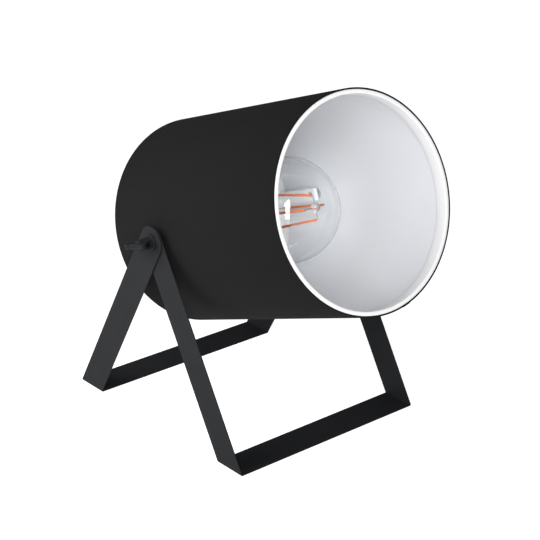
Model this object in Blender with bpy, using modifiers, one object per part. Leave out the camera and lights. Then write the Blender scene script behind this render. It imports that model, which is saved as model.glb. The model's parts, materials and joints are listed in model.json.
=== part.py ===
"""A table lamp: a cylinder shade that tilts between two folded sheet-metal leg frames.

Units are metres, +Z is up. The origin lies on the table, under the middle of the lamp's box, and the mouth
of the shade looks along +X. The shade's own axes are x along the shade towards its mouth, y to the left and
z upwards.
"""
import math

import bmesh
import bpy
from mathutils import Matrix, Vector

# Fits shared by all pieces
GAP = 0.0003                        # between pieces that seat on each other
OVERRUN = 0.004                     # how far a cutter passes the piece that it cuts
MERGE = 0.00001
SHARP_ANGLE = math.radians(32)

# Shade
SHADE_RADIUS = 0.095
SHADE_FRONT = 0.1721                # pivot to the mouth
SHADE_REAR = 0.0665                 # pivot to the rear end
SHADE_TILT = math.radians(19.65)    # mouth above the horizontal
FABRIC_THICKNESS = 0.0011
LINER_THICKNESS = 0.0008
RIM_DEPTH = 0.0123
RIM_FLANGE = 0.002
RIM_WIDTH = 0.0037                  # white band across the rim
RIM_SKIRT = 0.0026
PANEL_INSET = 0.015
PANEL_THICKNESS = 0.0012
SHADE_SEGMENTS = 60

# Leg frames, folded from sheet
PIVOT_HEIGHT = 0.1811
SHEET_THICKNESS = 0.0010
LEG_WIDTH = 0.0292
FRONT_LEAN = math.radians(30.0)
REAR_LEAN = math.radians(30.6)
FOLD_INSIDE = 0.0003                # radius inside the folds
FOLD_RADIUS = SHEET_THICKNESS + FOLD_INSIDE
FOLD_STEPS = 3
ROUND_END_STEPS = 16

# Pivot hardware
STUD_RADIUS = 0.003
STUD_END = 0.0035                   # stud beyond the strap, inside the shade
STUD_TIP = 0.0015                   # stud beyond the wing nut's hub
STUD_CHAMFER = 0.0005
SPACER_RADIUS = 0.007
SPACER_LENGTH = 0.0051
LOCK_NUT_FLATS = 0.010
LOCK_NUT_HEIGHT = 0.0026
WASHER_RADIUS = 0.0077
WASHER_THICKNESS = 0.0014
HARDWARE_SEGMENTS = 20

# Wing nut
NUT_BASE_RADIUS = 0.0060
NUT_TOP_RADIUS = 0.0046
NUT_HEIGHT = 0.0090
WING_THICKNESS = 0.0030
WING_REACH = 0.0148                 # axis to the middle of the wing's round tip
WING_RISE = 0.0138                  # nut's seat to the middle of the wing's round tip
WING_TIP_RADIUS = 0.0034
WING_TIP_START = math.radians(-40)  # ends of the round tip's arc
WING_TIP_END = math.radians(150)
WING_TIP_STEPS = 8
WING_FOOT = 0.0014
WING_VALLEY = 0.0060                # nut's seat to the dip between the wings
WING_EDGE = 0.0006
WING_TURN = {"right": math.radians(17), "left": math.radians(-38)}

# Carrier bracket and rear panel
STRAP_WIDTH = 0.012
STRAP_THICKNESS = 0.0015
STRAP_END = 0.0068                  # strap beyond the pivot, towards the mouth
STRAP_BEND = 0.003
SADDLE_RADIUS = 0.014
SADDLE_STEPS = 10
RIVET_PLACE = 0.036                 # rivet's distance from the shade's axis
RIVET_RADIUS = 0.0016
RIVET_HEAD = 0.003
RIVET_HEAD_HEIGHT = 0.0011

# Threaded nipple, its nut and the cord gland
NIPPLE_RADIUS = 0.005
NIPPLE_BORE = 0.0036
NIPPLE_REAR = 0.0105                # nipple behind the rear panel
NIPPLE_FRONT = 0.007                # nipple in front of the strap
NIPPLE_NUT_FLATS = 0.014
NIPPLE_NUT_HEIGHT = 0.003
GLAND_RADIUS = 0.0082
GLAND_LIP = 0.0020                  # gland behind the nipple's end
GLAND_BORE = 0.0032

# Lampholder
HOLDER_RADIUS = 0.0200
HOLDER_WALL = 0.0020
HOLDER_SEGMENTS = 28
CAP_SHOULDER = 0.0070
CAP_LAP = 0.0009                    # cap over the core
WIRE_ROOM = 0.0061                  # between the cap's shoulder and the core
CAP_BACK_RADIUS = 0.0125
CORE_LEDGE = 0.0015                 # ledges of cap and shell that clamp the core
LIP_THICKNESS = 0.0025
CORE_THICKNESS = 0.0055
SLEEVE_WALL = 0.0005
CONTACT_RISE = 0.0015
CONTACT_THICKNESS = 0.0004
CONTACT_WIDTH = 0.005
CONTACT_LENGTH = 0.016
TERMINAL_RADIUS = 0.0015
TERMINAL_HEAD = 0.0028
TERMINAL_HEAD_HEIGHT = 0.0018
TERMINAL_PLACE = 0.0095
TERMINAL_SLOT = 0.0007

# Bulb, measured from the tip of its contact
BULB_LENGTH = 0.1381
GLOBE_RADIUS = 0.0473
GLASS_WALL = 0.0009
NECK_RADIUS = 0.0126
NECK_JOIN = 0.024                   # radius at which the neck runs into the globe
THREAD_CREST = 0.01315
THREAD_ROOT = 0.0122
THREAD_PITCH = 0.003629
THREAD_TURNS = 5
SHELL_WALL = 0.0005
SHELL_LENGTH = 0.0222
SHELL_PROUD = 0.0021                # screw shell in front of the lampholder
TIP_RADIUS = 0.0045
TIP_HEIGHT = 0.0018
INSULATOR_HEIGHT = 0.0034
INSULATOR_RADIUS = 0.0112
SHELL_HOLE = 0.0075
DRIVER_BOARD = 0.0016
DRIVER_RADIUS = 0.0065
DRIVER_HEIGHT = 0.0090
NECK_INSERT = 0.0070                # glass inside the screw shell
STEM_RADIUS = 0.0021
STEM_FLARE_SHARE = 120 / 349        # of the way from the glass's low end to the globe's middle
BEAD_RADIUS = 0.0031
BEAD_CLEARANCE = 0.0043             # stem's tip to the glass in front of it
BULB_SEGMENTS = 28
GLOBE_STEPS = 13
NECK_STEPS = 5
BEAD_STEPS = 6

# Filaments
FILAMENT_COUNT = 4
FILAMENT_RADIUS = 0.0010
FILAMENT_RISE_SHARE = 109 / 349     # of the same way: filament's lower end in front of the stem's flare
FILAMENT_TOP_PLACE = 0.0106         # from the bulb's axis
FILAMENT_BASE_PLACE = 0.0155
FILAMENT_SETBACK = 0.0032           # filament's top end behind the stem's tip
WIRE_RADIUS = 0.0003


def sheet_half_width(arm_index):
    """Outer face of a leg frame's arm, from the middle of the lamp: 0 is the front frame, 1 the rear one."""
    seat = SHADE_RADIUS + GAP + SPACER_LENGTH + GAP
    return seat + SHEET_THICKNESS + arm_index * (GAP + SHEET_THICKNESS)


def leg_half_run(lean):
    """Half of an arm's width, cut level."""
    return LEG_WIDTH / 2 / math.cos(lean)


def foot_middle(lean):
    """How far a foot bar's middle lies from the pivot, along X."""
    return (PIVOT_HEIGHT - FOLD_RADIUS) * math.tan(lean)


def pivot_place():
    """Pivot in the lamp's frame, whose origin is under the middle of the lamp's box."""
    front = SHADE_FRONT * math.cos(SHADE_TILT) + SHADE_RADIUS * math.sin(SHADE_TILT)
    rear = foot_middle(REAR_LEAN) + leg_half_run(REAR_LEAN)
    return Vector(((rear - front) / 2, 0, PIVOT_HEIGHT))


# Places along the shade's axis, from the pivot towards the mouth
PANEL_BACK = PANEL_INSET - SHADE_REAR
PANEL_FRONT = PANEL_BACK + PANEL_THICKNESS
STRAP_BACK = PANEL_FRONT + GAP
STRAP_FRONT = STRAP_BACK + STRAP_THICKNESS
HOLDER_BACK = STRAP_FRONT + GAP

# The same in the lampholder, from its back
CORE_LOW = CAP_SHOULDER + HOLDER_WALL + WIRE_ROOM
CORE_HIGH = CORE_LOW + CORE_THICKNESS
BULB_SEAT = CORE_HIGH + GAP + CONTACT_THICKNESS + CONTACT_RISE + GAP
BULB_TIP = HOLDER_BACK + BULB_SEAT

# The same in the bulb, from its tip
SHELL_LOW = TIP_HEIGHT + GAP + INSULATOR_HEIGHT + GAP
SHELL_HIGH = SHELL_LOW + SHELL_LENGTH
GLASS_LOW = SHELL_HIGH - NECK_INSERT
GLOBE_MIDDLE = BULB_LENGTH - GLOBE_RADIUS
GLASS_RUN = GLOBE_MIDDLE - GLASS_LOW
STEM_FLARE_TOP = GLASS_LOW + GLASS_RUN * STEM_FLARE_SHARE
STEM_TOP = BULB_LENGTH - GLASS_WALL - BEAD_CLEARANCE
SHELL_INNER = THREAD_ROOT - SHELL_WALL
HOLDER_LENGTH = BULB_SEAT + SHELL_HIGH - SHELL_PROUD

# Radii about the shade's axis
LINER_OUTER = SHADE_RADIUS - FABRIC_THICKNESS - GAP
LINER_INNER = LINER_OUTER - LINER_THICKNESS
LOCK_NUT_CORNER = LOCK_NUT_FLATS / 2 / math.cos(math.pi / 6)
LOCK_NUT_SAG = LOCK_NUT_CORNER**2 / 2 / LINER_INNER    # how far the round lining falls away under the nut
STRAP_OUTER = LINER_INNER - LOCK_NUT_SAG - LOCK_NUT_HEIGHT - 3 * GAP
STRAP_INNER = STRAP_OUTER - STRAP_THICKNESS

# Places along the pivot, from the middle of the lamp outwards
WASHER_SEAT = sheet_half_width(1) + GAP
NUT_SEAT = WASHER_SEAT + WASHER_THICKNESS + GAP
STUD_HOLE = STUD_RADIUS + GAP


def clear_scene():
    for obj in list(bpy.data.objects):
        bpy.data.objects.remove(obj, do_unlink=True)


def make_collection(name):
    collection = bpy.data.collections.new(name)
    bpy.context.scene.collection.children.link(collection)
    return collection


def make_material(name, color, roughness, metallic=0.0, transmission=0.0):
    material = bpy.data.materials.new(name)
    material.use_nodes = True
    shader = material.node_tree.nodes["Principled BSDF"]
    shader.inputs["Base Color"].default_value = (*color, 1.0)
    shader.inputs["Roughness"].default_value = roughness
    shader.inputs["Metallic"].default_value = metallic
    shader.inputs["Transmission Weight"].default_value = transmission
    material.diffuse_color = (*color, 1.0)
    return material


def make_empty(name, collection, parent=None, matrix=None):
    empty = bpy.data.objects.new(name, None)
    collection.objects.link(empty)
    empty.parent = parent
    empty.matrix_local = matrix or Matrix()
    return empty


def add_object(name, data, collection, material=None, parent=None, matrix=None):
    obj = bpy.data.objects.new(name, data)
    collection.objects.link(obj)
    obj.parent = parent
    obj.matrix_local = matrix or Matrix()
    if material:
        obj.data.materials.append(material)
    return obj


def mesh_from(bm, name):
    mesh = bpy.data.meshes.new(name)
    bm.to_mesh(mesh)
    bm.free()
    return mesh


def smooth(obj):
    obj.data.shade_smooth()
    obj.data.set_sharp_from_angle(angle=SHARP_ANGLE)


def apply_modifiers(obj):
    """Turn what the modifiers make into the object's own mesh."""
    depsgraph = bpy.context.evaluated_depsgraph_get()
    mesh = bpy.data.meshes.new_from_object(obj.evaluated_get(depsgraph))
    obj.modifiers.clear()
    obj.data = mesh


def curve_to_mesh(curve_object):
    """Replace a curve object with a mesh object of the same name, its caps welded."""
    name = curve_object.name
    collection = curve_object.users_collection[0]
    parent = curve_object.parent
    matrix = curve_object.matrix_basis.copy()
    depsgraph = bpy.context.evaluated_depsgraph_get()
    mesh = bpy.data.meshes.new_from_object(curve_object.evaluated_get(depsgraph))
    bm = bmesh.new()
    bm.from_mesh(mesh)
    bmesh.ops.remove_doubles(bm, verts=bm.verts, dist=MERGE)
    bm.to_mesh(mesh)
    bm.free()
    bpy.data.objects.remove(curve_object, do_unlink=True)
    return add_object(name, mesh, collection, parent=parent, matrix=matrix)


def boolean(obj, other, operation):
    modifier = obj.modifiers.new(operation.lower(), "BOOLEAN")
    modifier.operation = operation
    modifier.object = other


def cylinder(name, radius, low, high, segments, collection, material=None, parent=None, matrix=None):
    """A cylinder on its local z, from low to high."""
    bm = bmesh.new()
    middle = Matrix.Translation((0, 0, (low + high) / 2))
    bmesh.ops.create_cone(bm, cap_ends=True, segments=segments, radius1=radius, radius2=radius,
                          depth=high - low, matrix=middle)
    obj = add_object(name, mesh_from(bm, name), collection, material, parent, matrix)
    smooth(obj)
    return obj


def cutter(name, radius, low, high, segments, parent, matrix=None):
    obj = cylinder(name, radius, low, high, segments, CUTTERS, parent=parent, matrix=matrix)
    obj.hide_render = True
    obj.display_type = "WIRE"
    return obj


def turned(name, profile, closed, segments, material, parent, matrix):
    """Turn a profile of (radius, height) about the local z; an open one starts and ends on the axis."""
    count = len(profile)
    edges = [(index, index + 1) for index in range(count - 1)]
    if closed:
        edges.append((count - 1, 0))
    mesh = bpy.data.meshes.new(name)
    mesh.from_pydata([(radius, 0, height) for radius, height in profile], edges, [])
    obj = add_object(name, mesh, PARTS, parent=parent, matrix=matrix)
    screw = obj.modifiers.new("turn", "SCREW")
    screw.steps = segments
    screw.render_steps = segments
    screw.use_merge_vertices = True
    screw.merge_threshold = MERGE
    apply_modifiers(obj)
    obj.data.materials.append(material)
    smooth(obj)
    return obj


def arc(centre, radius, start, end, steps):
    """Points (across, along) on an arc, both ends included; angles in radians."""
    points = []
    for index in range(steps + 1):
        angle = start + (end - start) * index / steps
        points.append((centre[0] + radius * math.cos(angle), centre[1] + radius * math.sin(angle)))
    return points


def tube_profile(outer, inner, low, high):
    return [(outer, high), (outer, low), (inner, low), (inner, high)]


def along_shade(place=0.0):
    """Local z along the shade's axis, its zero at the given place from the pivot."""
    return Matrix.Translation((place, 0, 0)) @ Matrix.Rotation(math.pi / 2, 4, "Y")


def along_pivot(side, turn=0.0):
    """Local z along the pivot, outwards on the given side."""
    quarter = math.pi / 2 if side == "right" else -math.pi / 2
    return Matrix.Rotation(quarter, 4, "X") @ Matrix.Rotation(turn, 4, "Z")


def fold_on(bm, edges, centre, axis, run):
    """Fold the sheet a quarter turn from its free edges, then carry it straight on by run."""
    folded = bmesh.ops.spin(bm, geom=edges, cent=centre, axis=axis, angle=math.pi / 2, steps=FOLD_STEPS)
    last = [item for item in folded["geom_last"] if isinstance(item, bmesh.types.BMEdge)]
    straight = bmesh.ops.extrude_edge_only(bm, edges=last)
    moved = [item for item in straight["geom"] if isinstance(item, bmesh.types.BMVert)]
    bmesh.ops.translate(bm, verts=moved, vec=run)
    return moved


def face_out(bm, face, outward):
    """Make the open sheet's faces agree, with the given face looking outward."""
    bmesh.ops.recalc_face_normals(bm, faces=bm.faces)
    face.normal_update()
    if face.normal.dot(outward) < 0:
        bmesh.ops.reverse_faces(bm, faces=bm.faces)


def fold_sheet(obj, thickness):
    """Mirror the half sheet to its left side and give it its thickness, inwards."""
    mirror = obj.modifiers.new("left half", "MIRROR")
    mirror.use_axis = (False, True, False)
    mirror.merge_threshold = MERGE
    solidify = obj.modifiers.new("sheet", "SOLIDIFY")
    solidify.thickness = thickness
    solidify.offset = -1
    solidify.use_even_offset = True


def leg_frame(name, lean, half_width, material, parent):
    """One U frame: two arms with round ends at the pivot, and the flat bar that lies on the table.

    lean is positive where the foot is in front of the pivot. The local origin is the pivot.
    """
    side = math.copysign(1, lean)
    lean = abs(lean)
    fold_line = FOLD_RADIUS - PIVOT_HEIGHT
    half_run = leg_half_run(lean)
    middle = foot_middle(lean)
    radius = LEG_WIDTH / 2
    outline = [(middle - half_run, fold_line), (middle + half_run, fold_line)]
    outline += arc((0, 0), radius, lean, lean + math.pi, ROUND_END_STEPS)
    bm = bmesh.new()
    verts = [bm.verts.new((side * x, -half_width, z)) for x, z in outline]
    arm = bm.faces.new(verts)
    foot_edge = bm.edges.get((verts[0], verts[1]))
    centre = (0, FOLD_RADIUS - half_width, fold_line)
    fold_on(bm, [foot_edge], centre, (1, 0, 0), (0, half_width - FOLD_RADIUS, 0))
    face_out(bm, arm, Vector((0, -1, 0)))
    obj = add_object(name, mesh_from(bm, name), PARTS, material, parent)
    fold_sheet(obj, SHEET_THICKNESS)
    reach = half_width + OVERRUN
    hole = cutter("cut_" + name, STUD_HOLE, -reach, reach, HARDWARE_SEGMENTS, parent, along_pivot("right"))
    boolean(obj, hole, "DIFFERENCE")
    return obj


def shade_tube(name, outer, inner, rear, front, material, parent):
    """A tube round the shade's axis with a stud hole on each side."""
    obj = turned(name, tube_profile(outer, inner, rear, front), True, SHADE_SEGMENTS, material, parent,
                 along_shade())
    reach = outer + OVERRUN
    hole = cutter("cut_" + name, STUD_HOLE, -reach, reach, HARDWARE_SEGMENTS, parent, along_pivot("right"))
    boolean(obj, hole, "DIFFERENCE")
    return obj


def rim_ring(name, place, direction, depth, material, parent):
    """The ring that finishes one end of the shade: a flange over the rim and a skirt inside the lining."""
    flange_inner = LINER_OUTER - RIM_WIDTH
    skirt_outer = flange_inner + RIM_SKIRT
    profile = [(LINER_OUTER, 0), (LINER_OUTER, -RIM_FLANGE), (skirt_outer, -RIM_FLANGE),
               (skirt_outer, -depth), (flange_inner, -depth), (flange_inner, 0)]
    turn = Matrix() if direction > 0 else Matrix.Rotation(math.pi, 4, "Y")
    return turned(name, profile, True, SHADE_SEGMENTS, material, parent, along_shade(place) @ turn)


def hexagon(name, flats, low, high, bore, material, parent, matrix):
    """A hexagon nut on its local z, from low to high, with a plain bore."""
    sides = 6
    corner = flats / 2 / math.cos(math.pi / sides)
    obj = cylinder(name, corner, low, high, sides, PARTS, material, parent, matrix)
    hole = cutter("cut_" + name, bore, low - OVERRUN, high + OVERRUN, HARDWARE_SEGMENTS, parent, matrix)
    boolean(obj, hole, "DIFFERENCE")
    return obj


def rear_panel(material, parent):
    """White disc that closes the back of the shade, behind the strap."""
    profile = tube_profile(LINER_INNER - GAP, NIPPLE_RADIUS + GAP, 0, PANEL_THICKNESS)
    obj = turned("rear_panel", profile, True, SHADE_SEGMENTS, material, parent, along_shade(PANEL_BACK))
    cut_rivet_holes(obj, PANEL_BACK, PANEL_FRONT, parent)
    return obj


def cut_rivet_holes(obj, low, high, parent):
    for side, sign in SIDES:
        matrix = Matrix.Translation((0, sign * RIVET_PLACE, 0)) @ along_shade()
        hole = cutter("cut_" + obj.name + "_rivet_" + side, RIVET_RADIUS + GAP, low - OVERRUN, high + OVERRUN,
                      HARDWARE_SEGMENTS, parent, matrix)
        boolean(obj, hole, "DIFFERENCE")


def carrier_bracket(material, parent):
    """U strap inside the shade: its base carries the lampholder, its arms carry the pivot studs."""
    half = STRAP_WIDTH / 2
    join = math.asin(half / SADDLE_RADIUS)
    fold_line = STRAP_BEND - STRAP_OUTER
    outline = [(fold_line, half), (fold_line, -half)]
    outline += arc((0, 0), SADDLE_RADIUS, math.pi + join, 1.5 * math.pi, SADDLE_STEPS)
    outline += arc((0, 0), SADDLE_RADIUS, 0.5 * math.pi, math.pi - join, SADDLE_STEPS)
    bm = bmesh.new()
    verts = [bm.verts.new((STRAP_BACK, y, z)) for y, z in outline]
    base = bm.faces.new(verts)
    edge = bm.edges.get((verts[0], verts[1]))
    centre = (STRAP_BACK + STRAP_BEND, fold_line, 0)
    fold_on(bm, [edge], centre, (0, 0, -1), (STRAP_END - STRAP_BACK - STRAP_BEND, 0, 0))
    face_out(bm, base, Vector((-1, 0, 0)))
    obj = add_object("carrier_bracket", mesh_from(bm, "carrier_bracket"), PARTS, material, parent)
    fold_sheet(obj, STRAP_THICKNESS)
    reach = STRAP_OUTER + OVERRUN
    stud_cut = cutter("cut_bracket_studs", STUD_HOLE, -reach, reach, HARDWARE_SEGMENTS, parent,
                      along_pivot("right"))
    boolean(obj, stud_cut, "DIFFERENCE")
    nipple_cut = cutter("cut_bracket_nipple", NIPPLE_RADIUS + GAP, STRAP_BACK - OVERRUN,
                        STRAP_FRONT + OVERRUN, HARDWARE_SEGMENTS, parent, along_shade())
    boolean(obj, nipple_cut, "DIFFERENCE")
    cut_rivet_holes(obj, STRAP_BACK, STRAP_FRONT, parent)
    return obj


def bracket_rivet(name, sign, material, parent):
    """Rivet through the strap and the rear panel, a flat head at each end."""
    back = PANEL_BACK - GAP
    front = STRAP_FRONT + GAP
    profile = [(0, front + RIVET_HEAD_HEIGHT), (RIVET_HEAD, front + RIVET_HEAD_HEIGHT), (RIVET_HEAD, front),
               (RIVET_RADIUS, front), (RIVET_RADIUS, back), (RIVET_HEAD, back),
               (RIVET_HEAD, back - RIVET_HEAD_HEIGHT), (0, back - RIVET_HEAD_HEIGHT)]
    matrix = Matrix.Translation((0, sign * RIVET_PLACE, 0)) @ along_shade()
    return turned(name, profile, False, HARDWARE_SEGMENTS, material, parent, matrix)


def pivot_stud(name, side, material, parent):
    """Threaded stud from the strap, through shade wall, spacer and both arms, to past the wing nut."""
    low = STRAP_INNER - STUD_END
    high = NUT_SEAT + NUT_HEIGHT + STUD_TIP
    slim = STUD_RADIUS - STUD_CHAMFER
    profile = [(0, high), (slim, high), (STUD_RADIUS, high - STUD_CHAMFER), (STUD_RADIUS, low + STUD_CHAMFER),
               (slim, low), (0, low)]
    return turned(name, profile, False, HARDWARE_SEGMENTS, material, parent, along_pivot(side))


def wing_outline():
    """Both wings and the web between them, as (across, along the nut's axis) points."""
    tip = (WING_REACH, WING_RISE)
    foot = (NUT_TOP_RADIUS, WING_FOOT)
    right = [foot]
    right += arc(tip, WING_TIP_RADIUS, WING_TIP_START, WING_TIP_END, WING_TIP_STEPS)
    right.append((0, WING_VALLEY))
    left = [(-across, along) for across, along in reversed(right[:-1])]
    return right + left


def wing_nut(side, material, parent):
    """Wing nut: a tapered hub with two flat wings, bored for the stud."""
    name = "wing_nut_" + side
    matrix = Matrix.Translation((0, NUT_SEAT * SIDE_SIGN[side], 0)) @ along_pivot(side, WING_TURN[side])
    profile = [(0, NUT_HEIGHT), (NUT_TOP_RADIUS - WING_EDGE, NUT_HEIGHT),
               (NUT_TOP_RADIUS, NUT_HEIGHT - WING_EDGE), (NUT_BASE_RADIUS, 0), (0, 0)]
    hub = turned(name, profile, False, HARDWARE_SEGMENTS, material, parent, matrix)
    curve = bpy.data.curves.new("wings_" + side, "CURVE")
    curve.dimensions = "2D"
    curve.fill_mode = "BOTH"
    curve.extrude = WING_THICKNESS / 2
    points = wing_outline()
    spline = curve.splines.new("POLY")
    spline.points.add(len(points) - 1)
    for point, (across, along) in zip(spline.points, points):
        point.co = (across, along, 0, 1)
    spline.use_cyclic_u = True
    upright = matrix @ Matrix.Rotation(math.pi / 2, 4, "X")
    wings = curve_to_mesh(add_object("wings_" + side, curve, CUTTERS, parent=parent, matrix=upright))
    wings.hide_render = True
    wings.display_type = "WIRE"
    bevel = wings.modifiers.new("rounded edge", "BEVEL")
    bevel.width = WING_EDGE
    bevel.segments = 2
    bevel.limit_method = "ANGLE"
    boolean(hub, wings, "UNION")
    bore = cutter("cut_" + name, STUD_HOLE, -OVERRUN, NUT_HEIGHT + OVERRUN, HARDWARE_SEGMENTS, parent, matrix)
    boolean(hub, bore, "DIFFERENCE")
    return hub


def pivot_hardware(side, materials, pivot, shade):
    """Everything on one pivot stud, from the strap outwards."""
    matrix = along_pivot(side)
    steel = materials["zinc"]
    pivot_stud("pivot_stud_" + side, side, steel, shade)
    nut_low = STRAP_OUTER + GAP
    hexagon("stud_lock_nut_" + side, LOCK_NUT_FLATS, nut_low, nut_low + LOCK_NUT_HEIGHT, STUD_HOLE, steel,
            shade, matrix)
    spacer_low = SHADE_RADIUS + GAP
    spacer = tube_profile(SPACER_RADIUS, STUD_HOLE, spacer_low, spacer_low + SPACER_LENGTH)
    turned("spacer_bush_" + side, spacer, True, HARDWARE_SEGMENTS, materials["black_nylon"], shade, matrix)
    washer = tube_profile(WASHER_RADIUS, STUD_HOLE, WASHER_SEAT, WASHER_SEAT + WASHER_THICKNESS)
    turned("washer_" + side, washer, True, HARDWARE_SEGMENTS, materials["black_metal"], pivot, matrix)
    wing_nut(side, materials["black_metal"], pivot)


def nipple_group(materials, parent):
    """Threaded nipple through panel, strap and lampholder, its nut and the gland that lets the cord in."""
    rear = PANEL_BACK - NIPPLE_REAR
    turned("nipple", tube_profile(NIPPLE_RADIUS, NIPPLE_BORE, rear, STRAP_FRONT + NIPPLE_FRONT), True,
           HARDWARE_SEGMENTS, materials["zinc"], parent, along_shade())
    nut_high = PANEL_BACK - GAP
    nut_low = nut_high - NIPPLE_NUT_HEIGHT
    hexagon("nipple_nut", NIPPLE_NUT_FLATS, nut_low, nut_high, NIPPLE_RADIUS + GAP, materials["zinc"], parent,
            along_shade())
    high = nut_low - GAP
    shoulder = rear - GAP
    low = shoulder - GLAND_LIP
    seat = NIPPLE_RADIUS + GAP
    profile = [(GLAND_RADIUS, high), (GLAND_RADIUS, shoulder), (seat, low), (GLAND_BORE, low),
               (GLAND_BORE, shoulder), (seat, shoulder), (seat, high)]
    turned("cord_gland", profile, True, HARDWARE_SEGMENTS, materials["black_nylon"], parent, along_shade())


def lampholder(materials, parent):
    """Screw lampholder: cap, shell, insulating core, threaded sleeve, centre contact and terminals."""
    place = along_shade(HOLDER_BACK)
    plastic = materials["white_plastic"]
    brass = materials["brass"]
    bore = NIPPLE_RADIUS + GAP
    inner = HOLDER_RADIUS - HOLDER_WALL
    ledge = inner - CORE_LEDGE
    cap_high = CORE_LOW + CAP_LAP
    cap = [(HOLDER_RADIUS, cap_high), (HOLDER_RADIUS, CAP_SHOULDER), (CAP_BACK_RADIUS, 0), (bore, 0),
           (bore, HOLDER_WALL), (CAP_BACK_RADIUS - HOLDER_WALL, HOLDER_WALL),
           (ledge, CAP_SHOULDER + HOLDER_WALL), (ledge, CORE_LOW - GAP), (inner, CORE_LOW - GAP),
           (inner, cap_high)]
    turned("lampholder_cap", cap, True, HOLDER_SEGMENTS, plastic, parent, place)
    sleeve_inner = THREAD_CREST + GAP
    sleeve_outer = sleeve_inner + SLEEVE_WALL
    mouth = sleeve_outer + GAP
    lip_low = HOLDER_LENGTH - LIP_THICKNESS
    shell = [(HOLDER_RADIUS - HOLDER_WALL, HOLDER_LENGTH), (HOLDER_RADIUS, lip_low),
             (HOLDER_RADIUS, cap_high + GAP), (inner, cap_high + GAP), (inner, CORE_HIGH + GAP),
             (ledge, CORE_HIGH + GAP), (ledge, lip_low), (mouth, lip_low), (mouth, HOLDER_LENGTH)]
    turned("lampholder_shell", shell, True, HOLDER_SEGMENTS, plastic, parent, place)
    block = [(0, CORE_HIGH), (inner - GAP, CORE_HIGH), (inner - GAP, CORE_LOW), (0, CORE_LOW)]
    core = turned("lampholder_core", block, False, HOLDER_SEGMENTS, materials["ceramic"], parent, place)
    turned("lampholder_sleeve", tube_profile(sleeve_outer, sleeve_inner, CORE_HIGH + GAP, lip_low - GAP),
           True, HOLDER_SEGMENTS, brass, parent, place)
    centre_contact(brass, parent, place)
    for side, sign in SIDES:
        terminal_screw(side, sign, core, brass, parent, place)


def centre_contact(material, parent, place):
    """Bowed brass leaf under the bulb's tip."""
    half_length = CONTACT_LENGTH / 2
    half_width = CONTACT_WIDTH / 2
    bow_start_share = 0.55
    bow_end_share = 0.3
    run = [(-half_length, 0), (-half_length * bow_start_share, 0)]
    run.append((-half_length * bow_end_share, CONTACT_RISE))
    run +=[(-along, rise) for along, rise in reversed(run)]
    bm = bmesh.new()
    rows = [[bm.verts.new((side * half_width, along, rise)) for side in (-1, 1)] for along, rise in run]
    for near, far in zip(rows, rows[1:]):
        bm.faces.new((near[0], near[1], far[1], far[0]))
    matrix = place @ Matrix.Translation((0, 0, CORE_HIGH + GAP))
    obj = add_object("centre_contact", mesh_from(bm, "centre_contact"), PARTS, material, parent, matrix)
    solidify = obj.modifiers.new("leaf", "SOLIDIFY")
    solidify.thickness = CONTACT_THICKNESS
    solidify.offset = 1
    return obj


def terminal_screw(side, sign, core, material, parent, place):
    """Slotted screw in the back of the lampholder's core, where a conductor is clamped."""
    at = place @ Matrix.Translation((0, sign * TERMINAL_PLACE, CORE_LOW))
    depth = CORE_THICKNESS / 2
    head = -GAP - TERMINAL_HEAD_HEIGHT
    profile = [(0, depth), (TERMINAL_RADIUS, depth), (TERMINAL_RADIUS, -GAP), (TERMINAL_HEAD, -GAP),
               (TERMINAL_HEAD, head), (0, head)]
    obj = turned("terminal_screw_" + side, profile, False, HARDWARE_SEGMENTS, material, parent, at)
    bm = bmesh.new()
    size = Matrix.Diagonal((2 * (TERMINAL_HEAD + OVERRUN), TERMINAL_SLOT, TERMINAL_HEAD_HEIGHT, 1))
    bmesh.ops.create_cube(bm, size=1, matrix=Matrix.Translation((0, 0, head)) @ size)
    name = "cut_slot_" + side
    slot = add_object(name, mesh_from(bm, name), CUTTERS, parent=parent, matrix=at)
    slot.hide_render = True
    slot.display_type = "WIRE"
    boolean(obj, slot, "DIFFERENCE")
    hole = cutter("cut_terminal_" + side, TERMINAL_RADIUS + GAP, -OVERRUN, depth + GAP, HARDWARE_SEGMENTS,
                  parent, at)
    boolean(core, hole, "DIFFERENCE")
    return obj


def glass_profile(inset):
    """Globe, neck and the stub inside the screw shell, from the front pole down, inset from the outside."""
    radius = GLOBE_RADIUS - inset
    neck = NECK_RADIUS - inset
    join = NECK_JOIN - inset
    stub = SHELL_INNER - GAP - inset
    join_angle = -math.acos(join / radius)
    points = arc((0, GLOBE_MIDDLE), radius, math.pi / 2, join_angle, GLOBE_STEPS)
    points[0] = (0, points[0][1])
    join_height = points[-1][1]
    slope = math.tan(join_angle + math.pi / 2)
    neck_height = SHELL_HIGH + GAP + inset
    run = join_height - neck_height
    for index in range(1, NECK_STEPS + 1):
        share = 1 - index / NECK_STEPS
        rise = 3 * share**2 - 2 * share**3
        bend = share**3 - share**2
        points.append((neck + (join - neck) * rise + bend * run / slope, neck_height + run * share))
    points += [(stub, neck_height), (stub, GLASS_LOW)]
    return points


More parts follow.
